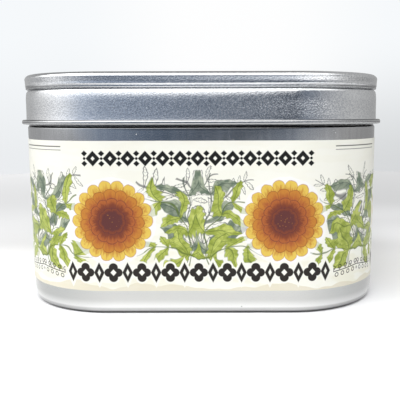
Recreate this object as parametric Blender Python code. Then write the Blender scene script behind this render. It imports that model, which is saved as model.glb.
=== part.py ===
"""A square slip-lid tin with a wrap label: drawn tinplate body, drawn lid, printed paper strip.

Metres, +Z up. The origin is the middle of the base, and the label's front faces -Y.
Each sheet-metal piece is one cross-section, swept round the rounded square of the tin's plan.
A cross-section is a list of (out, z) points: out is the distance outside the body's outer wall.
"""

import math

import bmesh
import bpy
from mathutils import Matrix, Vector

MM = 0.001

# Plan of the body, measured outside its wall
BODY_WIDTH = 105.0 * MM
CORNER_RADIUS = 26.8 * MM
CORNER_STEPS = 12
MERGE_DISTANCE = 0.01 * MM
SHARP_ANGLE = 35

# Sheet and fits
SHEET = 0.3 * MM
FIT_GAP = 0.3 * MM

# Heights above the surface that the tin stands on
LABEL_BOTTOM = 6.6 * MM
LABEL_TOP = 47.8 * MM
LABEL_THICKNESS = 0.2 * MM
NECK_BOTTOM = 51.15 * MM
NECK_TOP = 51.6 * MM
HEM_HEIGHT = 52.62 * MM
RIM_HEIGHT = 60.42 * MM
UPPER_BAND_BOTTOM = 62.95 * MM
LID_TOP = 66.0 * MM

# Body: a slow side curve above a tight edge at the base, and the rim curled inwards
BASE_SIDE_RADIUS = 8.0 * MM
BASE_SIDE_SWEEP = 26
BASE_EDGE_RADIUS = 0.9 * MM
BASE_STEPS = 4
NECK_DEPTH = 0.35 * MM
RIM_RADIUS = 0.7 * MM
RIM_SWEEP = 240
RIM_STEPS = 8
RIM_FOOT_DROP = 0.9 * MM

# Lid: three arcs that run into each other, from the upper band through the groove to the skirt
TOP_RADIUS = 1.25 * MM
BAND_RADIUS = 0.85 * MM
BAND_SWEEP = 80
GROOVE_RADIUS = 0.25 * MM
SHOULDER_RADIUS = 1.32 * MM
SHOULDER_SWEEP = 65
HEM_OUT = 0.94 * MM
HEM_RADIUS = 0.68 * MM
HEM_JOIN = 150
HEM_STEPS = 12
LID_STEPS = 5

# Stacking recess in the lid's top
CREST_WIDTH = 1.2 * MM
RECESS_DEPTH = 0.7 * MM
RECESS_RUN = 1.4 * MM

TINPLATE = {"color": (0.62, 0.64, 0.66), "metallic": 1.0, "roughness": 0.34}
LID_TINPLATE = {"color": (0.66, 0.68, 0.70), "metallic": 1.0, "roughness": 0.42}
PAPER = {"color": (0.93, 0.92, 0.83), "metallic": 0.0, "roughness": 0.45}

# The skirt clears the neck by the fit gap
SKIRT_OUT = FIT_GAP + SHEET - NECK_DEPTH


def clear_scene():
    for old in list(bpy.data.objects):
        bpy.data.objects.remove(old, do_unlink=True)


def polar(centre, radius, degrees):
    """The point this far from the centre, at an angle: 0 degrees points outwards and 90 up."""
    angle = math.radians(degrees)
    return (centre[0] + radius * math.cos(angle), centre[1] + radius * math.sin(angle))


def arc(centre, radius, start, end, steps):
    return [polar(centre, radius, start + (end - start) * i / steps) for i in range(steps + 1)]


def swept_round(section):
    """A bmesh of the section swept round the plan: a spin at each corner, a straight run between."""
    half_flat = BODY_WIDTH / 2 - CORNER_RADIUS
    shape = bmesh.new()
    line = [shape.verts.new((half_flat + CORNER_RADIUS + out, half_flat, z)) for out, z in section]
    ring = line + [shape.edges.new(pair) for pair in zip(line, line[1:])]
    centre = Vector((half_flat, half_flat, 0))
    run = Vector((-2 * half_flat, 0, 0))
    for _ in range(4):
        spun = bmesh.ops.spin(
            shape, geom=ring, cent=centre, axis=(0, 0, 1), angle=math.pi / 2, steps=CORNER_STEPS
        )
        edges = [part for part in spun["geom_last"] if isinstance(part, bmesh.types.BMEdge)]
        drawn = bmesh.ops.extrude_edge_only(shape, edges=edges)["geom"]
        moved = [part for part in drawn if isinstance(part, bmesh.types.BMVert)]
        bmesh.ops.translate(shape, verts=moved, vec=run)
        ring = moved + [edge for edge in shape.edges if set(edge.verts) <= set(moved)]
        centre += run
        run.rotate(Matrix.Rotation(math.pi / 2, 3, "Z"))
    bmesh.ops.remove_doubles(shape, verts=shape.verts, dist=MERGE_DISTANCE)
    return shape


def material(name, look):
    made = bpy.data.materials.new(name)
    made.use_nodes = True
    surface = made.node_tree.nodes["Principled BSDF"]
    surface.inputs["Base Color"].default_value = (*look["color"], 1)
    surface.inputs["Metallic"].default_value = look["metallic"]
    surface.inputs["Roughness"].default_value = look["roughness"]
    return made


def finish_piece(name, shape, look):
    """Closes the open edges left in the middle of the piece with flat panels, and makes its object."""
    open_edges = [edge for edge in shape.edges if edge.is_boundary]
    bmesh.ops.edgeloop_fill(shape, edges=open_edges)
    bmesh.ops.recalc_face_normals(shape, faces=shape.faces)
    mesh = bpy.data.meshes.new(name)
    shape.to_mesh(mesh)
    shape.free()
    mesh.shade_smooth()
    mesh.set_sharp_from_angle(angle=math.radians(SHARP_ANGLE))
    mesh.materials.append(material(name, look))
    piece = bpy.data.objects.new(name, mesh)
    bpy.context.scene.collection.objects.link(piece)
    return piece


def base_line(depth):
    """The body's sheet from the flat base up to the wall, at this depth inside its outer face."""
    reach = BASE_SIDE_RADIUS - BASE_EDGE_RADIUS
    side_height = BASE_EDGE_RADIUS + reach * math.sin(math.radians(BASE_SIDE_SWEEP))
    side = (-BASE_SIDE_RADIUS, side_height)
    edge = polar(side, reach, -BASE_SIDE_SWEEP)
    line = arc(edge, BASE_EDGE_RADIUS - depth, -90, -BASE_SIDE_SWEEP, BASE_STEPS)
    line += arc(side, BASE_SIDE_RADIUS - depth, -BASE_SIDE_SWEEP, 0, BASE_STEPS)[1:]
    return line


def make_tin_body():
    """Up the outside past the neck, over the rim curled inwards, and down the inside to the base."""
    rim = (-NECK_DEPTH - RIM_RADIUS, RIM_HEIGHT)
    section = base_line(0)
    section += [(0, NECK_BOTTOM), (-NECK_DEPTH, NECK_TOP)]
    section += arc(rim, RIM_RADIUS, 0, RIM_SWEEP, RIM_STEPS)
    section += [(-NECK_DEPTH - SHEET, RIM_HEIGHT - RIM_FOOT_DROP)]
    section += [(-NECK_DEPTH - SHEET, NECK_TOP), (-SHEET, NECK_BOTTOM)]
    section += reversed(base_line(SHEET))
    return finish_piece("tin_body", swept_round(section), TINPLATE)


def lid_line(depth):
    """The lid's sheet from the top panel down to the skirt, at this depth inside its outer face."""
    crest = SKIRT_OUT - TOP_RADIUS - CREST_WIDTH
    top = (SKIRT_OUT - TOP_RADIUS, LID_TOP - TOP_RADIUS)
    band = (SKIRT_OUT - BAND_RADIUS, UPPER_BAND_BOTTOM)
    groove = polar(band, BAND_RADIUS + GROOVE_RADIUS, -BAND_SWEEP)
    shoulder = polar(groove, GROOVE_RADIUS + SHOULDER_RADIUS, 180 + SHOULDER_SWEEP)
    line = [
        (crest - RECESS_RUN, LID_TOP - RECESS_DEPTH - depth),
        (crest, LID_TOP - depth),
    ]
    line += arc(top, TOP_RADIUS - depth, 90, 0, LID_STEPS)
    line += arc(band, BAND_RADIUS - depth, 0, -BAND_SWEEP, LID_STEPS)
    line += arc(groove, GROOVE_RADIUS + depth, 180 - BAND_SWEEP, 180 + SHOULDER_SWEEP, LID_STEPS)[1:]
    line += arc(shoulder, SHOULDER_RADIUS - depth, SHOULDER_SWEEP, 0, LID_STEPS)[1:]
    return line


def make_lid():
    """Down the outer face from the top panel, round the rolled hem, and back up the inner face."""
    hem = arc((HEM_OUT, HEM_HEIGHT), HEM_RADIUS, HEM_JOIN, -HEM_JOIN, HEM_STEPS)
    section = lid_line(0)
    section += [(SKIRT_OUT, HEM_HEIGHT + HEM_RADIUS)]
    section += hem
    section += [(SKIRT_OUT - SHEET, hem[-1][1])]
    section += reversed(lid_line(SHEET))
    return finish_piece("lid", swept_round(section), LID_TINPLATE)


def make_label():
    """A closed paper band, one paper thickness deep, standing off the wall by the fit gap."""
    inner, outer = FIT_GAP, FIT_GAP + LABEL_THICKNESS
    section = [
        (inner, LABEL_BOTTOM),
        (outer, LABEL_BOTTOM),
        (outer, LABEL_TOP),
        (inner, LABEL_TOP),
        (inner, LABEL_BOTTOM),
    ]
    return finish_piece("label", swept_round(section), PAPER)


clear_scene()
make_tin_body()
make_lid()
make_label()
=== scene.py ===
"""A square slip-lid tin with a printed paper label wrapped round its body, on a pale studio floor.

Metres, +Z up. The origin is the middle of the tin's base, and the label's front faces -Y.
Cross-sections are (out, z) points in millimetres: out is measured outwards from the body's wall.
"""

import math

import bmesh
import bpy
from mathutils import Matrix, Vector


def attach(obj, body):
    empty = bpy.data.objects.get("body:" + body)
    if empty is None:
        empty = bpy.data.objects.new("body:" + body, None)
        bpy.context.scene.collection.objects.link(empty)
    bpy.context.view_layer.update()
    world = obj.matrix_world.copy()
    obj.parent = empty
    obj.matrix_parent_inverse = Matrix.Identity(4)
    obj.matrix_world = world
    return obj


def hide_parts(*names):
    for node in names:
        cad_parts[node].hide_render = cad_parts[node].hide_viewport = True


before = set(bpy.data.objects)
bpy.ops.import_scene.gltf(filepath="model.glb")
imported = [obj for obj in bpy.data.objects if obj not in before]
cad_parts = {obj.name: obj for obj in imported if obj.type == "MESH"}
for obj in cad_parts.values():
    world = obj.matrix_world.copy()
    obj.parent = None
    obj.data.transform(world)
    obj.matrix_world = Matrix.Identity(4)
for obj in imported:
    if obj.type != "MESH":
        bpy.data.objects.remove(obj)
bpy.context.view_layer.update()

# Camera
# A short telephoto held level with the lid's hem, 16 cm in front of the label,
# tipped down a little and hardly turned.
MM = 0.001
CAMERA_PLACE = (9.35, -212.72, 54.59)
CAMERA_YAW, CAMERA_PITCH, CAMERA_ROLL = 0.13, -8.08, -0.15

lens = bpy.data.cameras.new("front_camera")
lens.sensor_width = 36
lens.lens = 54
lens.shift_x = -0.0786
lens.clip_start = 0.01
camera = bpy.data.objects.new("front_camera", lens)
bpy.context.scene.collection.objects.link(camera)
camera.matrix_world = (
    Matrix.Translation(Vector(CAMERA_PLACE) * MM)
    @ Matrix.Rotation(math.radians(CAMERA_YAW), 4, "Z")
    @ Matrix.Rotation(math.radians(90 + CAMERA_PITCH), 4, "X")
    @ Matrix.Rotation(math.radians(CAMERA_ROLL), 4, "Z")
)
bpy.context.scene.camera = camera
bpy.context.scene.view_settings.view_transform = "Standard"


# Studio
# A light tent: a broad white ceiling light in front and above, white walls that are brightest to
# the left, a table below the horizon that is lit nearer the tin and grey further off, and an open,
# dark front.
CEILING_LEFT, CEILING_RIGHT = (3.20, 3.18, 3.14), (3.55, 3.53, 3.50)
REAR_CEILING, RIGHT_CEILING = (0.28, 0.28, 0.28), (0.45, 0.45, 0.45)
BACKDROP_LEFT, BACKDROP_RIGHT = (0.83, 0.85, 0.87), (0.67, 0.685, 0.695)
BACKDROP_HIGH = (0.92, 0.945, 0.965)


class NodeSheet:
    """Writes one node tree. Inputs may be sockets, numbers or colours."""

    def __init__(self, tree):
        self.tree = tree

    def node(self, kind, inputs=None, **settings):
        made = self.tree.nodes.new(kind)
        for name, value in settings.items():
            setattr(made, name, value)
        for key, value in (inputs or {}).items():
            self.feed(made.inputs[key], value)
        return made

    def feed(self, socket, value):
        if isinstance(value, bpy.types.NodeSocket):
            self.tree.links.new(value, socket)
        elif socket.type == "RGBA" and len(value) == 3:
            socket.default_value = (*value, 1)
        else:
            socket.default_value = value

    def math(self, operation, *values, clamp=False):
        inputs = dict(enumerate(values))
        return self.node("ShaderNodeMath", inputs, operation=operation, use_clamp=clamp).outputs[0]

    def mix(self, share, first, second, blend="MIX"):
        made = self.node("ShaderNodeMix", data_type="RGBA", blend_type=blend)
        for index, value in ((0, share), (6, first), (7, second)):
            self.feed(made.inputs[index], value)
        return made.outputs[2]

    def step(self, value, low, high, out_low=0.0, out_high=1.0):
        """A smooth step of the value from low to high."""
        inputs = {0: value, 1: low, 2: high, 3: out_low, 4: out_high}
        made = self.node("ShaderNodeMapRange", inputs, interpolation_type="SMOOTHSTEP")
        return made.outputs[0]

    def ramp(self, value, stops, interpolation="LINEAR"):
        made = self.node("ShaderNodeValToRGB", {0: value})
        made.color_ramp.interpolation = interpolation
        points = made.color_ramp.elements
        while len(points) < len(stops):
            points.new(1)
        for point, (place, color) in zip(points, stops):
            point.position = place
            point.color = (*color, 1)
        return made.outputs[0]


def grey(value, blue=0.0):
    return (value * (1 - 0.75 * blue), value, value * (1 + 1.3 * blue))


studio = bpy.data.worlds.new("studio")
studio.use_nodes = True
bpy.context.scene.world = studio
sky = NodeSheet(studio.node_tree)
toward = sky.node("ShaderNodeSeparateXYZ", {0: sky.node("ShaderNodeTexCoord").outputs["Generated"]})
side, depth, rise = toward.outputs
turn = sky.math("ARCTAN2", side, sky.math("MULTIPLY", depth, -1))
around = sky.math("MULTIPLY_ADD", turn, 0.5 / math.pi, 0.5)
# Stops run clockwise as seen from above, from behind the tin past the left wall to the front at 0.5
far_table = sky.ramp(
    around,
    [
        (0.0, grey(0.40)),
        (0.36, grey(0.37, 0.03)),
        (0.43, grey(0.33, 0.14)),
        (0.463, grey(0.26, 0.24)),
        (0.476, grey(0.125, 0.36)),
        (0.492, grey(0.052, 0.36)),
        (0.505, grey(0.035, 0.32)),
        (0.516, grey(0.16, 0.20)),
        (0.545, grey(0.25, 0.10)),
        (0.70, grey(0.34)),
        (0.85, grey(0.30)),
        (1.0, grey(0.40)),
    ],
)
walls = sky.ramp(
    around,
    [
        (0.0, grey(0.42)),
        (0.16, grey(0.50)),
        (0.24, grey(0.80)),
        (0.31, grey(1.08, 0.02)),
        (0.345, grey(0.97, 0.05)),
        (0.40, grey(0.54, 0.18)),
        (0.465, grey(0.36, 0.22)),
        (0.50, grey(0.18, 0.22)),
        (0.519, grey(0.05, 0.22)),
        (0.55, grey(0.20, 0.20)),
        (0.59, grey(0.26, 0.12)),
        (0.63, grey(0.41, 0.04)),
        (0.74, grey(0.53)),
        (0.88, grey(0.40)),
        (1.0, grey(0.42)),
    ],
)
near_table = sky.ramp(
    around,
    [
        (0.0, grey(0.42)),
        (0.18, grey(0.54)),
        (0.25, grey(1.5)),
        (0.29, grey(1.5)),
        (0.322, grey(0.95, 0.02)),
        (0.358, grey(0.52, 0.06)),
        (0.394, grey(0.27, 0.15)),
        (0.465, grey(0.13, 0.25)),
        (0.481, grey(0.30, 0.22)),
        (0.502, grey(0.62, 0.12)),
        (0.513, grey(0.92, 0.08)),
        (0.541, grey(1.55, 0.02)),
        (0.60, grey(1.9)),
        (0.645, grey(1.8)),
        (0.69, grey(0.90)),
        (0.75, grey(0.70)),
        (0.88, grey(0.45)),
        (1.0, grey(0.42)),
    ],
)
walls = sky.mix(sky.step(rise, -0.02, 0.012), far_table, walls)
walls = sky.mix(sky.step(rise, -0.095, -0.06), near_table, walls)
ceiling = sky.mix(sky.step(side, -0.6, 0.6), CEILING_LEFT, CEILING_RIGHT)
rear_ceiling = sky.mix(sky.step(side, 0.05, 0.5), REAR_CEILING, RIGHT_CEILING)
toward_rear = sky.math("MULTIPLY_ADD", sky.math("MINIMUM", side, 0), 0.6, depth)
ceiling = sky.mix(sky.step(toward_rear, -0.58, 0.04), ceiling, rear_ceiling)
# The ceiling light starts low in front and to the left, and high above the right wall
high_foot = sky.math("MULTIPLY", sky.step(turn, -0.03, 0.30), sky.step(turn, 0.7, 2.6, 1.0, 0.0))
light_foot = sky.math("MULTIPLY_ADD", high_foot, 0.40, 0.05)
light_full = sky.math("MULTIPLY_ADD", high_foot, 0.18, 0.74)
room = sky.mix(sky.step(rise, light_foot, light_full), walls, ceiling)
# The paper backdrop is only seen by the camera, with a soft glow behind the tin's middle
backdrop = sky.mix(sky.step(side, -0.35, 0.35), BACKDROP_LEFT, BACKDROP_RIGHT)
backdrop = sky.mix(sky.step(rise, -0.09, 0.13), backdrop, BACKDROP_HIGH)
glow = sky.math("MULTIPLY", sky.step(sky.math("ABSOLUTE", side), 0.05, 0.28, 1.0, 0.0), 0.9)
backdrop = sky.mix(sky.math("MULTIPLY", glow, sky.step(rise, -0.02, 0.09)), backdrop, (1.0, 1.0, 1.0))
seen = sky.node("ShaderNodeLightPath").outputs["Is Camera Ray"]
light = studio.node_tree.nodes["Background"]
sky.feed(light.inputs["Color"], sky.mix(seen, room, backdrop))

# Floor
# A white paper sheet, 40 cm across each way from the tin. A painted falloff of light makes its colour
# darker behind the tin, and more so to the right.
FLOOR_RADIUS = 400
LEFT_PAINTED_FALLOFF = ((0.16, 0.99), (0.22, 0.98), (0.29, 0.77), (0.54, 0.65), (1.0, 0.74))
RIGHT_PAINTED_FALLOFF = ((0.16, 0.99), (0.22, 0.99), (0.29, 0.90), (0.40, 0.68), (0.54, 0.55), (1.0, 0.60))

sheet_form = bmesh.new()
bmesh.ops.create_circle(sheet_form, cap_ends=True, segments=96, radius=FLOOR_RADIUS * MM)
floor_mesh = bpy.data.meshes.new("floor")
sheet_form.to_mesh(floor_mesh)
sheet_form.free()
floor = bpy.data.objects.new("floor", floor_mesh)
bpy.context.scene.collection.objects.link(floor)

white_sheet = bpy.data.materials.new("white_sheet")
white_sheet.use_nodes = True
paint = NodeSheet(white_sheet.node_tree)
surface = white_sheet.node_tree.nodes["Principled BSDF"]
floor_place = paint.node(
    "ShaderNodeSeparateXYZ", {0: paint.node("ShaderNodeTexCoord").outputs["Object"]}
)
# Ramps run from 100 mm in front of the tin's middle to 400 mm behind it
behind = paint.math("MULTIPLY_ADD", floor_place.outputs[1], 1 / (500 * MM), 0.2)
left, right = (
    paint.ramp(behind, [(stop, grey(value, 0.01)) for stop, value in fade], "EASE")
    for fade in (LEFT_PAINTED_FALLOFF, RIGHT_PAINTED_FALLOFF)
)
across = paint.step(floor_place.outputs[0], -90 * MM, 90 * MM)
paint.feed(surface.inputs["Base Color"], paint.mix(across, left, right))
surface.inputs["Roughness"].default_value = 0.8
surface.inputs["Specular IOR Level"].default_value = 0.0
floor_mesh.materials.append(white_sheet)


# Tin body
# A cup drawn from one round-cornered square of tinplate, so it has no seam: flat base with a
# shallow stacking recess, rounded base edge, straight bright wall, and a rim curled inwards.
BODY_WIDTH = 105.0
CORNER_RADIUS = 26.8
CORNER_STEPS = 24
FLAT_STEPS = 6
SHEET = 0.25
BASE_EDGE_OUT = -0.80
BASE_SIDE_HEIGHT = 2.166
BASE_RING_WIDTH = 4.0
BASE_RECESS = 0.45
RECESS_SLOPE = 0.6
PANEL_RING = 2.0
NECK_OUT = -0.35
NECK_BOTTOM, NECK_TOP = 51.15, 51.6
RIM_HEIGHT = 60.42
RIM_RADIUS = 0.7
RIM_SWEEP = 240
LABEL_BOTTOM, LABEL_TOP = 6.6, 47.8
ROUNDING_STEPS = 8
CURL_STEPS = 12

HALF_FLAT = BODY_WIDTH / 2 - CORNER_RADIUS


def section_line(corners):
    """A bmesh with the polyline of (out, z, setback) corners, where the plan's first corner begins.

    A corner with a setback is rounded from that far before it to that far after it. Returns the
    bmesh and the polyline's last point.
    """
    form = bmesh.new()
    line = [form.verts.new((HALF_FLAT + CORNER_RADIUS + out, HALF_FLAT, z)) for out, z, _ in corners]
    for pair in zip(line, line[1:]):
        form.edges.new(pair)
    for point, (_, _, setback) in zip(line, corners):
        if setback:
            bmesh.ops.bevel(
                form,
                geom=[point],
                offset=setback,
                offset_type="OFFSET",
                affect="VERTICES",
                segments=ROUNDING_STEPS,
                profile=0.5,
                material=-1,
            )
    return form, line[-1]


def curl(form, point, out, z, degrees, steps):
    """Carries the polyline on from its end point round a circle about (out, z)."""
    centre = (HALF_FLAT + CORNER_RADIUS + out, HALF_FLAT, z)
    bmesh.ops.spin(
        form, geom=[point], cent=centre, axis=(0, 1, 0), angle=math.radians(degrees), steps=steps
    )


def sweep_round(form):
    """Sweeps the polyline round the tin's plan: a spin at each corner, straight steps between."""
    ring = list(form.verts) + list(form.edges)
    centre = Vector((HALF_FLAT, HALF_FLAT, 0))
    run = Vector((-2 * HALF_FLAT, 0, 0))
    for _ in range(4):
        spun = bmesh.ops.spin(
            form, geom=ring, cent=centre, axis=(0, 0, 1), angle=math.pi / 2, steps=CORNER_STEPS
        )
        ring = spun["geom_last"]
        for _ in range(FLAT_STEPS):
            edges = [part for part in ring if isinstance(part, bmesh.types.BMEdge)]
            drawn = bmesh.ops.extrude_edge_only(form, edges=edges)["geom"]
            ring = [part for part in drawn if isinstance(part, bmesh.types.BMVert)]
            bmesh.ops.translate(form, verts=ring, vec=run / FLAT_STEPS)
            moved = set(ring)
            ring += [edge for edge in form.edges if moved.issuperset(edge.verts)]
        centre += run
        run.rotate(Matrix.Rotation(math.pi / 2, 3, "Z"))
    bmesh.ops.remove_doubles(form, verts=form.verts, dist=0.001)


def fill_panel(form, inset, high):
    """Closes the open loop at the given height with a flat panel that has a ring inside its edge."""
    loop = [edge for edge in form.edges if edge.is_boundary and abs(edge.verts[0].co.z - high) < 0.01]
    panel = bmesh.ops.edgeloop_fill(form, edges=loop)["faces"]
    bmesh.ops.inset_region(form, faces=panel, thickness=inset, use_even_offset=True)


def sheet_piece(name, form, thickness, edge_width):
    """A finished object from the outer surface in millimetres, given the sheet's thickness."""
    bmesh.ops.recalc_face_normals(form, faces=form.faces)
    bmesh.ops.scale(form, vec=(MM, MM, MM), verts=form.verts)
    mesh = bpy.data.meshes.new(name)
    form.to_mesh(mesh)
    form.free()
    mesh.shade_smooth()
    piece = bpy.data.objects.new(name, mesh)
    bpy.context.scene.collection.objects.link(piece)
    wall = piece.modifiers.new("sheet", "SOLIDIFY")
    wall.thickness = thickness * MM
    wall.offset = -1
    edge = piece.modifiers.new("cut_edge", "BEVEL")
    edge.width = edge_width * MM
    edge.segments = 2
    edge.limit_method = "ANGLE"
    edge.angle_limit = math.radians(60)
    edge.harden_normals = True
    return piece


body_form, rim_point = section_line(
    [
        (BASE_EDGE_OUT - BASE_RING_WIDTH - PANEL_RING, BASE_RECESS, 0),
        (BASE_EDGE_OUT - BASE_RING_WIDTH - RECESS_SLOPE, BASE_RECESS, 0.3),
        (BASE_EDGE_OUT - BASE_RING_WIDTH, 0.0, 0.3),
        (BASE_EDGE_OUT, 0.0, 0.561),
        (0.0, BASE_SIDE_HEIGHT, 1.70),
        (0.0, LABEL_BOTTOM - 1.0, 0),
        (0.0, LABEL_TOP - 1.0, 0),
        (0.0, NECK_BOTTOM - 0.3, 0),
        (0.0, NECK_BOTTOM, 0.12),
        (NECK_OUT, NECK_TOP, 0.12),
        (NECK_OUT, RIM_HEIGHT, 0),
    ]
)
curl(body_form, rim_point, NECK_OUT - RIM_RADIUS, RIM_HEIGHT, -RIM_SWEEP, CURL_STEPS)
sweep_round(body_form)
fill_panel(body_form, PANEL_RING, BASE_RECESS)
tin_body = sheet_piece("tin_body_drawn", body_form, SHEET, 0.05)

BODY_TIN = (0.74, 0.745, 0.745)
BODY_TIN_DULL = (0.70, 0.705, 0.71)
FOOT_SHADE, FOOT_SHADE_CORNER = (0.575, 0.58, 0.575), (0.45, 0.455, 0.455)
FOOT_HIGHLIGHT, FOOT_HIGHLIGHT_CORNER = (0.80, 0.80, 0.79), (0.64, 0.64, 0.635)
PAINTED_SHADE_DARK = (0.02, 0.02, 0.022)
SPECK = (0.75, 0.75, 0.75)


def metal(name, color):
    """A bare tinplate material: its sheet of nodes, its surface shader and its own coordinates."""
    made = bpy.data.materials.new(name)
    made.use_nodes = True
    nodes = NodeSheet(made.node_tree)
    shader = made.node_tree.nodes["Principled BSDF"]
    shader.inputs["Metallic"].default_value = 1.0
    shader.inputs["Base Color"].default_value = (*color, 1)
    return made, nodes, shader, nodes.node("ShaderNodeTexCoord").outputs["Object"]


def noise(nodes, place, scale, detail=2.0, roughness=0.5):
    """Noise with its own scale along x, y and z, in waves per metre."""
    spread = nodes.node("ShaderNodeMapping", {"Vector": place, "Scale": scale})
    inputs = {"Vector": spread.outputs[0], "Scale": 1.0, "Detail": detail, "Roughness": roughness}
    return nodes.node("ShaderNodeTexNoise", inputs).outputs["Fac"]


def heights_and_corners(nodes, place):
    """The coordinates apart in metres, then the height and the distance from a side's middle in mm."""
    where = nodes.node("ShaderNodeSeparateXYZ", {0: place})
    level = nodes.math("DIVIDE", where.outputs[2], MM)
    along_x, along_y = (nodes.math("ABSOLUTE", where.outputs[axis]) for axis in (0, 1))
    return where, level, nodes.math("DIVIDE", nodes.math("MINIMUM", along_x, along_y), MM)


drawn_tin, nodes, shader, place = metal("drawn_tinplate", BODY_TIN)
draw_marks = noise(nodes, place, (900, 900, 14), 3.0, 0.6)
broad_marks = noise(nodes, place, (120, 120, 5), 2.0, 0.5)
handling = noise(nodes, place, (60, 60, 60), 5.0, 0.65)
marks = nodes.math("ADD", draw_marks, broad_marks)
color = nodes.mix(nodes.step(marks, 0.75, 1.25), BODY_TIN_DULL, BODY_TIN)
unshaded_tin = color
# Painted shade and a painted highlight in the metal's reflection near the foot: darker below the label,
# a brighter band over the base edge's rounding, both darker at the corners, and darker again where the
# edge turns under
where, level, across_flat = heights_and_corners(nodes, place)
corner = nodes.step(across_flat, 22, 44)
foot_shade = nodes.mix(corner, FOOT_SHADE, FOOT_SHADE_CORNER)
foot_highlight = nodes.mix(corner, FOOT_HIGHLIGHT, FOOT_HIGHLIGHT_CORNER)
color = nodes.mix(nodes.step(level, 7.0, 8.0, 1.0, 0.0), color, foot_shade)
color = nodes.mix(nodes.step(level, 1.8, 4.2, 1.0, 0.0), color, foot_highlight)
color = nodes.mix(nodes.step(level, 1.3, 2.0, 0.36, 0.0), color, PAINTED_SHADE_DARK)
# Single specks of pale dust lie on the metal
specks = nodes.node("ShaderNodeTexVoronoi", {"Vector": place, "Scale": 260.0}).outputs["Distance"]
specks = nodes.step(specks, 0.035, 0.06, 1.0, 0.0)
color = nodes.mix(specks, color, SPECK)
nodes.feed(shader.inputs["Metallic"], nodes.math("SUBTRACT", 1.0, specks))
# Painted shade: a painted contact shadow along the base edge by the floor, and painted shade under the
# hem that reaches lower in the middle of each side than at the corners. The wall is painted darker from
# the neck up as well, and the fitted lid hides all of that but the gap under its hem
painted_shade = nodes.step(level, 51.55, 51.85, 0.0, 0.4)
reach = nodes.math("ADD", level, nodes.step(across_flat, 14, 32, 0.45, 0.0))
painted_shade = nodes.math("ADD", painted_shade, nodes.step(level, 0.30, 1.15, 0.96, 0.0))
painted_shade = nodes.math("ADD", painted_shade, nodes.step(reach, 50.75, 51.4, 0.0, 0.5))
color = nodes.mix(painted_shade, color, PAINTED_SHADE_DARK)
# None of that painted shade, highlight or dust is on the underside, which starts just inside the base
# edge's rounding
past_flat_x, past_flat_y = (
    nodes.math("MAXIMUM", nodes.math("SUBTRACT", nodes.math("ABSOLUTE", axis), HALF_FLAT * MM), 0.0)
    for axis in (where.outputs[0], where.outputs[1])
)
from_arc = nodes.math(
    "SQRT",
    nodes.math(
        "MULTIPLY_ADD", past_flat_x, past_flat_x, nodes.math("MULTIPLY", past_flat_y, past_flat_y)
    ),
)
inwards = nodes.math("SUBTRACT", CORNER_RADIUS, nodes.math("DIVIDE", from_arc, MM))
color = nodes.mix(nodes.step(inwards, 1.30, 1.70), color, unshaded_tin)
nodes.feed(shader.inputs["Base Color"], color)
roughness = nodes.step(handling, 0.35, 0.7, 0.10, 0.13)
nodes.feed(
    shader.inputs["Roughness"],
    nodes.math("ADD", roughness, nodes.step(draw_marks, 0.4, 0.7, 0.0, 0.012)),
)
relief = nodes.node(
    "ShaderNodeBump", {"Height": marks, "Strength": 0.015, "Distance": 0.05 * MM}
)
nodes.feed(shader.inputs["Normal"], relief.outputs[0])
tin_body.data.materials.append(drawn_tin)
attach(tin_body, "root")
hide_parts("tin_body")


# Lid
# Drawn from a second piece of tinplate with a finer, satin finish. From the top: recessed panel,
# raised edge, upper band, groove that rests on the body's rim, shoulder, skirt, and a hem that is
# rolled outwards so that the cut edge is hidden.
LID_TOP = 66.0
PANEL_DEPTH = 0.7
TOP_EDGE = ((-0.78, LID_TOP, 0.25), (-0.11, 65.46, 0.18), (0.145, 64.97, 0.12))
SKIRT_OUT = 0.25
BAND_FOOT = (
    (0.05, 63.95, 0.20),
    (0.02, 63.45, 0.15),
    (0.02, 62.89, 0.12),
    (-0.09, 62.53, 0.12),
    (-0.09, 61.92, 0.22),
)
GROOVE_OUT, GROOVE_HEIGHT = -1.233, 61.90
SHOULDER = ((-0.55, 61.57, 0.28), (-0.23, 61.09, 0.30), (-0.07, 60.10, 0.50), (0.0, 58.90, 0.65))
FLARE_HEIGHT = 53.25
# The line runs along the inside of the hem's roll, so the hem ends one sheet outside these: it is
# 1.3 mm thick
HEM_INNER, HEM_OUTER = 0.55, 1.35
HEM_BOTTOM, HEM_TOP = 52.22, 53.02
HEM_ROUNDING = 0.25

lid_form, _ = section_line(
    [
        (-5.0, LID_TOP - PANEL_DEPTH, 0),
        (-3.4, LID_TOP - PANEL_DEPTH, 0.6),
        (-2.0, LID_TOP, 0.6),
        *((SKIRT_OUT + out, z, setback) for out, z, setback in TOP_EDGE),
        *((SKIRT_OUT + out, z, setback) for out, z, setback in BAND_FOOT),
        (GROOVE_OUT, GROOVE_HEIGHT, 0.5),
        *((SKIRT_OUT + out, z, setback) for out, z, setback in SHOULDER),
        (SKIRT_OUT, FLARE_HEIGHT + 2.2, 0.8),
        (SKIRT_OUT + 0.07, FLARE_HEIGHT, 0.1),
        (HEM_INNER, HEM_TOP - 0.15, 0.08),
        (HEM_INNER, HEM_BOTTOM, HEM_ROUNDING),
        (HEM_OUTER, HEM_BOTTOM, HEM_ROUNDING),
        (HEM_OUTER, HEM_TOP, HEM_ROUNDING),
        (HEM_INNER + 0.07, HEM_TOP, 0),
    ]
)
sweep_round(lid_form)
fill_panel(lid_form, 3.0, LID_TOP - PANEL_DEPTH)
lid = sheet_piece("lid_drawn", lid_form, SHEET, 0.05)

LID_TIN = (0.88, 0.89, 0.90)
LID_TIN_DULL = (0.73, 0.745, 0.765)
HEM_DARK = (0.25, 0.25, 0.25)
LID_PAINTED_SHADE = (0.03, 0.03, 0.03)

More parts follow.
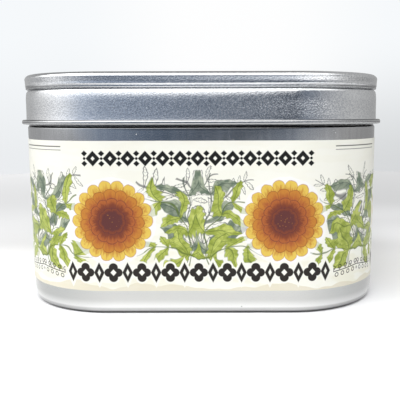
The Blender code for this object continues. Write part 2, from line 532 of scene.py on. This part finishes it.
satin_tin, nodes, shader, place = metal("satin_tinplate", LID_TIN)
speckle = noise(nodes, place, (2100, 2100, 2700), 2.0, 0.6)
rub_marks = noise(nodes, place, (70, 70, 1800), 3.0, 0.6)
handling = noise(nodes, place, (45, 45, 45), 5.0, 0.65)
color = nodes.mix(nodes.step(speckle, 0.36, 0.64), LID_TIN_DULL, LID_TIN)
# Painted shade in the bottom of the groove, under the hem, in the crease over the hem and, more and more
# towards the corners, on the groove's turn-in
where, level, across_flat = heights_and_corners(nodes, place)
corner = nodes.step(across_flat, 14, 34)
from_groove = nodes.math("ABSOLUTE", nodes.math("SUBTRACT", level, 61.8))
painted_shade = nodes.math(
    "ADD", nodes.step(from_groove, 0.1, 0.3, 0.15, 0.0), nodes.step(level, 52.0, 52.4, 0.65, 0.0)
)
turn_in = nodes.math(
    "MULTIPLY", nodes.step(level, 61.80, 61.95), nodes.step(level, 62.70, 62.95, 1.0, 0.0)
)
turn_in = nodes.math("MULTIPLY", turn_in, nodes.step(across_flat, 10, 40, 0.0, 0.52))
painted_shade = nodes.math("ADD", painted_shade, turn_in)
crease = nodes.math(
    "MULTIPLY", nodes.step(level, 53.01, 53.05), nodes.step(level, 53.22, 53.38, 1.0, 0.0)
)
crease = nodes.math("MULTIPLY", crease, nodes.math("MULTIPLY_ADD", corner, 0.36, 0.5))
painted_shade = nodes.math("ADD", painted_shade, crease)
# The hem is darker and a little rougher, but for a painted highlight: a band of its upper rounding is
# left brighter towards the corners
on_hem = nodes.step(level, 53.2, 53.4, 1.0, 0.0)
painted_highlight = nodes.math("MULTIPLY", nodes.step(level, 52.74, 52.84, 0.0, 0.6), corner)
hem_darkening = nodes.math("SUBTRACT", on_hem, painted_highlight, clamp=True)
color = nodes.mix(nodes.math("MULTIPLY", hem_darkening, 0.60), color, HEM_DARK)
nodes.feed(shader.inputs["Base Color"], nodes.mix(painted_shade, color, LID_PAINTED_SHADE))
roughness = nodes.math("MULTIPLY_ADD", on_hem, 0.04, nodes.step(handling, 0.35, 0.7, 0.12, 0.18))
nodes.feed(
    shader.inputs["Roughness"],
    nodes.math("ADD", roughness, nodes.step(speckle, 0.4, 0.65, 0.0, 0.05)),
)
height = nodes.math("MULTIPLY_ADD", rub_marks, 0.1, speckle)
# Strong on the skirt, faint on the hem, and in between on the upper band and the top
grain = nodes.math(
    "SUBTRACT", nodes.step(level, 53.2, 53.4, 0.2, 0.9), nodes.step(level, 62.4, 63.4, 0.0, 0.4)
)
relief = nodes.node(
    "ShaderNodeBump", {"Height": height, "Strength": grain, "Distance": 0.034 * MM}
)
nodes.feed(shader.inputs["Normal"], relief.outputs[0])
lid.data.materials.append(satin_tin)
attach(lid, "root")
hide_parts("lid")


# Label
# One strip of glossy printed paper, glued round the wall with its ends overlapped at the back.
# The print repeats on the tin's four sides: petalled rosettes and leaf sprays on a cream ground,
# with a row of dark ornaments above and a bolder one below.
LABEL_GAP = 0.02
PAPER = 0.1
OVERLAP = 6.0
LABEL_STEPS = 360
SPRAYS_ROUND = 8

label_out = LABEL_GAP + PAPER
ROUND = 2 * math.pi * (CORNER_RADIUS + label_out) + 8 * HALF_FLAT
STRIP = ROUND + OVERLAP
PITCH = ROUND / SPRAYS_ROUND
label_height = LABEL_TOP - LABEL_BOTTOM

# Printing inks
CREAM, CREAM_SHADE, BEIGE = (0.785, 0.78, 0.71), (0.745, 0.73, 0.62), (0.64, 0.59, 0.46)
BLACK, DARK_BROWN, GREY_LINE = (0.006, 0.006, 0.006), (0.016, 0.012, 0.010), (0.10, 0.105, 0.10)
LIME, LEAF_GREEN, LEAF_DARK = (0.48, 0.53, 0.13), (0.25, 0.31, 0.045), (0.085, 0.13, 0.022)
SAGE, GREY_GREEN, GREEN_SLATE = (0.34, 0.38, 0.28), (0.12, 0.16, 0.115), (0.055, 0.08, 0.06)
MAROON, RED_BROWN, RUST = (0.10, 0.027, 0.025), (0.19, 0.043, 0.017), (0.36, 0.10, 0.024)
AMBER, GOLD, LILAC_WHITE = (0.47, 0.185, 0.027), (0.66, 0.47, 0.085), (0.82, 0.81, 0.84)


def round_the_wall(along, out):
    """The point that far along the strip from the middle of the front, on the wall's plan."""
    radius = CORNER_RADIUS + out
    quarter = math.pi * radius / 2 + 2 * HALF_FLAT
    side_count, rest = divmod(along + HALF_FLAT, quarter)
    if rest < 2 * HALF_FLAT:
        point = Vector((rest - HALF_FLAT, -HALF_FLAT - radius, 0))
    else:
        swing = (rest - 2 * HALF_FLAT) / radius
        point = Vector((HALF_FLAT + radius * math.sin(swing), -HALF_FLAT - radius * math.cos(swing), 0))
    return Matrix.Rotation(side_count * math.pi / 2, 3, "Z") @ point


label_form = bmesh.new()
label_uv = label_form.loops.layers.uv.new("strip")
bmesh.ops.create_grid(label_form, x_segments=LABEL_STEPS, y_segments=4, size=0.5, calc_uvs=True)
bmesh.ops.translate(label_form, verts=label_form.verts, vec=(0, 0.5, 0))
for corner in label_form.verts:
    along = corner.co.x * STRIP
    lap = max(0.0, (abs(along) - ROUND / 2 + OVERLAP) / (2 * OVERLAP)) if along > 0 else 0.0
    out = label_out + PAPER * 1.2 * min(1.0, lap)
    height = LABEL_BOTTOM + corner.co.y * label_height
    corner.co = round_the_wall(along, out) + Vector((0, 0, height))
label = sheet_piece("label_strip", label_form, PAPER, 0.02)


class Print:
    """Draws on the strip. Shapes are distances in millimetres, negative inside the shape."""

    SOFT_EDGE = 0.09

    def __init__(self, nodes, along, height):
        self.nodes = nodes
        self.along = along
        self.height = height
        flat_place = nodes.node("ShaderNodeCombineXYZ", {0: along, 1: height}).outputs[0]
        self.place = flat_place
        self.color = None

    def sum(self, first, second):
        return self.nodes.math("ADD", first, second)

    def less(self, first, second):
        return self.nodes.math("SUBTRACT", first, second)

    def times(self, first, second):
        return self.nodes.math("MULTIPLY", first, second)

    def size(self, value):
        return self.nodes.math("ABSOLUTE", value)

    def overlap(self, *shapes):
        joined = shapes[0]
        for shape in shapes[1:]:
            joined = self.nodes.math("MAXIMUM", joined, shape)
        return joined

    def union(self, *shapes):
        joined = shapes[0]
        for shape in shapes[1:]:
            joined = self.nodes.math("MINIMUM", joined, shape)
        return joined

    def repeat(self, value, pitch, offset=0.0):
        """The value's distance past the nearest middle of a repeat, from -pitch/2 to pitch/2."""
        shifted = self.nodes.math("MULTIPLY_ADD", value, 1 / pitch, 0.5 - offset / pitch)
        return self.nodes.math("MULTIPLY_ADD", self.nodes.math("FRACT", shifted), pitch, -pitch / 2)

    def grain(self, scale, detail=2.0, stretch=(1, 1, 1)):
        spread = self.nodes.node("ShaderNodeMapping", {"Vector": self.place, "Scale": stretch})
        inputs = {"Vector": spread.outputs[0], "Scale": scale, "Detail": detail}
        return self.nodes.node("ShaderNodeTexNoise", inputs).outputs["Fac"]

    def lozenge(self, x, y, half_width, half_height):
        across = self.times(self.size(x), 1 / half_width)
        up = self.times(self.size(y), 1 / half_height)
        return self.times(self.less(self.sum(across, up), 1), 0.7 * min(half_width, half_height))

    def disc(self, x, y, radius):
        square = self.sum(self.times(x, x), self.times(y, y))
        return self.less(self.nodes.math("SQRT", square), radius)

    def ink(self, shape, color, strength=1.0):
        """Prints the colour inside the shape."""
        cover = self.nodes.step(shape, -self.SOFT_EDGE, self.SOFT_EDGE, strength, 0.0)
        self.color = self.nodes.mix(cover, self.color, color)


def leafy_stem(sheet, x, y, centre, radius, start, leaves, pitch, reach, width):
    """A stem bent clockwise round a centre, with pairs of leaves. Gives leaf, rib and half shapes."""
    nodes = sheet.nodes
    east, north = sheet.less(x, centre[0]), sheet.less(y, centre[1])
    off = sheet.disc(east, north, radius)
    turned = nodes.math("ARCTAN2", east, north)
    begin = math.radians(90 - start)
    run = sheet.times(sheet.less(turned, begin), radius)
    side = sheet.size(off)
    forward = nodes.math("MULTIPLY_ADD", side, -0.75, run)
    length = leaves * pitch
    taper = nodes.step(forward, 0, length, 1.0, 0.62)
    share = nodes.math("DIVIDE", side, sheet.times(taper, reach))
    cross = sheet.times(sheet.repeat(forward, pitch, pitch / 2), 0.8)
    swell = sheet.times(sheet.times(share, sheet.less(1, share)), sheet.times(taper, 4 * width))
    lobes = nodes.math("SINE", sheet.times(share, 24))
    swell = sheet.times(swell, nodes.math("MULTIPLY_ADD", lobes, 0.16, 1))
    within = sheet.less(sheet.size(sheet.less(forward, length / 2)), length / 2)
    leaf = sheet.overlap(sheet.less(sheet.size(cross), swell), within)
    stem = sheet.overlap(
        sheet.less(side, 0.17), sheet.less(sheet.size(sheet.less(run, length / 2)), length / 2 + 1.5)
    )
    rib = sheet.overlap(sheet.less(sheet.size(cross), 0.1), leaf)
    veins = nodes.math("SINE", nodes.math("MULTIPLY_ADD", share, 34, sheet.times(sheet.size(cross), -5)))
    vein = sheet.overlap(sheet.times(sheet.less(0.86, veins), 0.5), leaf)
    return leaf, stem, rib, vein, sheet.overlap(cross, leaf)


def draw_leaves(sheet, drawing, light, middle, dark, tone):
    leaf, stem, rib, vein, half = drawing
    sheet.ink(stem, dark, 0.8)
    sheet.ink(sheet.less(leaf, 0.16), dark, 0.55)
    sheet.ink(leaf, sheet.nodes.mix(tone, middle, light))
    sheet.ink(half, middle, 0.45)
    sheet.ink(vein, dark, 0.35)
    sheet.ink(rib, dark, 0.75)


paper = bpy.data.materials.new("printed_paper")
paper.use_nodes = True
nodes = NodeSheet(paper.node_tree)
shader = paper.node_tree.nodes["Principled BSDF"]
flat = nodes.node("ShaderNodeSeparateXYZ", {0: nodes.node("ShaderNodeUVMap", uv_map="strip").outputs[0]})
along = nodes.math("MULTIPLY_ADD", flat.outputs[0], STRIP, -STRIP / 2)
height = nodes.math("MULTIPLY", flat.outputs[1], label_height)
sheet = Print(nodes, along, height)

# Cream ground with broad pale strokes and a beige foot
strokes = sheet.grain(0.16, 2.0, (0.5, 1.6, 1))
sheet.color = nodes.mix(nodes.step(strokes, 0.47, 0.56), CREAM, CREAM_SHADE)
foot = nodes.math("MULTIPLY_ADD", sheet.grain(0.07), 9, -3.2)
sheet.ink(sheet.less(height, foot), BEIGE, 0.75)
sheet.color = nodes.mix(nodes.step(height, 0, 30, 0.0, 0.75), sheet.color, CREAM)

# Everything wanders a little off the true mirror symmetry
wander_x = nodes.math("MULTIPLY_ADD", sheet.grain(0.09, 0.8), 9.0, -4.5)
wander_y = nodes.math("MULTIPLY_ADD", sheet.grain(0.10, 0.8, (1, 1.3, 1)), 9.0, -4.5)
from_spray = sheet.size(sheet.repeat(sheet.sum(along, wander_x), PITCH))
wandering = sheet.sum(height, wander_y)
tone = nodes.step(sheet.grain(0.45, 4.0), 0.36, 0.64)

# Engraved grey sprigs behind, in line only
for centre, radius, start in (((22, 12), 20.5, 178), ((13, 16), 17.5, 196)):
    engraved = leafy_stem(sheet, from_spray, wandering, centre, radius, start, 9, 2.6, 4.2, 0.75)
    sheet.ink(sheet.less(sheet.size(engraved[0]), 0.09), GREY_LINE, 0.9)
    sheet.ink(engraved[1], GREY_LINE, 0.8)
    sheet.ink(engraved[3], GREY_LINE, 0.5)

# Grey-green leaves behind and yellow-green leaves in front
back_stem = leafy_stem(sheet, from_spray, wandering, (46, 19), 43.6, 194, 3, 7.4, 9.6, 2.3)
draw_leaves(sheet, back_stem, SAGE, GREY_GREEN, GREEN_SLATE, tone)
front_stem = leafy_stem(sheet, from_spray, wandering, (17, 12), 14.6, 200, 4, 5.8, 7.6, 1.95)
draw_leaves(sheet, front_stem, LIME, LEAF_GREEN, LEAF_DARK, tone)
low_stem = leafy_stem(sheet, from_spray, wandering, (10, -12), 23.0, 112, 3, 4.6, 5.4, 1.5)
draw_leaves(sheet, low_stem, LIME, LEAF_GREEN, LEAF_DARK, tone)

# Petalled rosettes midway between the sprays
ROSETTE_HEIGHT = 19.5
east = sheet.repeat(along, PITCH, PITCH / 2)
north = sheet.less(height, ROSETTE_HEIGHT)
ragged = sheet.times(sheet.less(sheet.grain(0.5, 3.0), 0.5), 0.7)
from_middle = sheet.sum(sheet.disc(east, north, 0.0), ragged)
bearing = nodes.math("ARCTAN2", north, east)
rays = nodes.node(
    "ShaderNodeCombineXYZ", {0: sheet.times(bearing, 9), 1: sheet.times(from_middle, 0.22), 2: along}
)
fibres = nodes.node(
    "ShaderNodeTexNoise", {"Vector": rays.outputs[0], "Scale": 1.6, "Detail": 4.0}
).outputs["Fac"]
sheet.ink(sheet.less(from_middle, 12.0), LILAC_WHITE, 0.5)
for petals, radius, turn, base, middle, tip in (
    (18, 11.1, 0.0, RUST, AMBER, GOLD),
    (15, 8.7, 0.4, RED_BROWN, RUST, AMBER),
    (12, 6.2, 0.1, MAROON, RED_BROWN, RUST),
    (9, 3.6, 0.7, MAROON, MAROON, RED_BROWN),
):
    swing = nodes.math("MULTIPLY_ADD", bearing, petals / 2, turn)
    lobe = sheet.size(nodes.math("COSINE", swing))
    edge = nodes.math("MULTIPLY_ADD", nodes.math("POWER", lobe, 0.6), 0.13 * radius, 0.87 * radius)
    petal = sheet.less(from_middle, edge)
    share = nodes.math("DIVIDE", from_middle, edge)
    mottled = sheet.sum(share, sheet.times(sheet.less(fibres, 0.5), 0.45))
    tint = nodes.ramp(mottled, [(0.45, base), (0.74, middle), (0.93, tip)])
    sheet.ink(sheet.less(petal, 0.17), base, 0.8)
    sheet.ink(petal, tint)
    parting = sheet.overlap(sheet.times(sheet.less(lobe, 0.10), radius / 4), petal)
    sheet.ink(parting, base, 0.6)
seeds = nodes.node("ShaderNodeTexVoronoi", {"Vector": sheet.place, "Scale": 1.5}).outputs["Distance"]
sheet.ink(sheet.overlap(sheet.less(from_middle, 2.2), sheet.less(seeds, 0.16)), AMBER, 0.8)

# Ornament rows on each side of the tin, and rules between them round the corners
side_place = sheet.repeat(along, 2 * PITCH)
UPPER_ROW, LOWER_ROW, RULES = 36.5, 5.2, 39.6


def row_places(pitch, offset, reach):
    """Where the strip is in a row's repeat, and the part of the row that a side has room for."""
    column = sheet.repeat(along, pitch, offset)
    middle = sheet.less(side_place, column)
    return column, sheet.less(sheet.size(middle), reach)


row = sheet.less(height, UPPER_ROW)
column, room_left = row_places(PITCH / 10, 0, 30)
large = sheet.overlap(sheet.lozenge(column, row, 1.95, 2.1), room_left)
eye = sheet.overlap(sheet.lozenge(column, row, 0.55, 0.6), room_left)
column, room_left = row_places(PITCH / 10, PITCH / 20, 33)
small = sheet.union(
    sheet.lozenge(column, sheet.less(sheet.size(row), 1.35), 0.85, 0.8), sheet.disc(column, row, 0.38)
)
sheet.ink(sheet.union(large, sheet.overlap(small, room_left)), BLACK)
sheet.ink(eye, CREAM)

row = sheet.less(height, LOWER_ROW)
column, room_left = row_places(PITCH / 6, 0, 33)
lobes = sheet.union(
    sheet.disc(sheet.less(sheet.size(column), 1.3), row, 1.2),
    sheet.disc(column, sheet.less(sheet.size(row), 1.4), 1.25),
)
bold = sheet.overlap(lobes, room_left)
eye = sheet.overlap(sheet.lozenge(column, row, 0.8, 0.9), room_left)
column, room_left = row_places(PITCH / 6, PITCH / 12, 36)
post = sheet.overlap(sheet.lozenge(column, row, 1.45, 2.9), room_left)
bold = sheet.union(bold, post)
sheet.ink(sheet.less(bold, 0.5), CREAM)
sheet.ink(bold, DARK_BROWN)
sheet.ink(eye, CREAM)
sheet.ink(sheet.overlap(sheet.lozenge(column, row, 0.45, 1.0), room_left), CREAM)

row_end = sheet.less(sheet.size(side_place), 36.5)
past_row = sheet.less(1.2, row_end)
rules = sheet.union(
    sheet.less(sheet.size(sheet.less(height, RULES)), 0.15),
    sheet.less(sheet.size(sheet.less(height, RULES - 0.95)), 0.09),
)
sheet.ink(sheet.overlap(rules, past_row), BLACK, 0.85)
# A berried sprig in line with the lower row: a bowed stem, with berries above and below in turn
berry_run = sheet.size(side_place)
bow = sheet.times(sheet.less(berry_run, 40), 0.12)
row = sheet.less(height, sheet.sum(bow, 4.9))
column = sheet.repeat(berry_run, 2.1)
berries = sheet.union(
    sheet.disc(column, sheet.less(row, 1.05), 0.52),
    sheet.disc(sheet.repeat(berry_run, 2.1, 1.05), sheet.sum(row, 1.05), 0.52),
)
stalk = sheet.overlap(
    sheet.less(sheet.size(column), 0.1), sheet.less(sheet.size(sheet.less(row, 0.5)), 0.5)
)
sprig = sheet.union(sheet.less(sheet.size(row), 0.14), sheet.less(sheet.size(berries), 0.13), stalk)
sheet.ink(sheet.overlap(sprig, past_row), DARK_BROWN, 0.9)

nodes.feed(shader.inputs["Base Color"], sheet.color)
gloss = nodes.step(sheet.grain(0.6, 3.0), 0.3, 0.7, 0.30, 0.42)
nodes.feed(shader.inputs["Roughness"], gloss)
shader.inputs["Specular IOR Level"].default_value = 0.2
shader.inputs["Coat Weight"].default_value = 0.12
shader.inputs["Coat Roughness"].default_value = 0.12
fibre = nodes.math("ADD", sheet.grain(9.0, 2.0), sheet.grain(0.5, 2.0))
relief = nodes.node("ShaderNodeBump", {"Height": fibre, "Strength": 0.15, "Distance": 0.05 * MM})
nodes.feed(shader.inputs["Normal"], relief.outputs[0])
label.data.materials.append(paper)
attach(label, "root")
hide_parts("label")
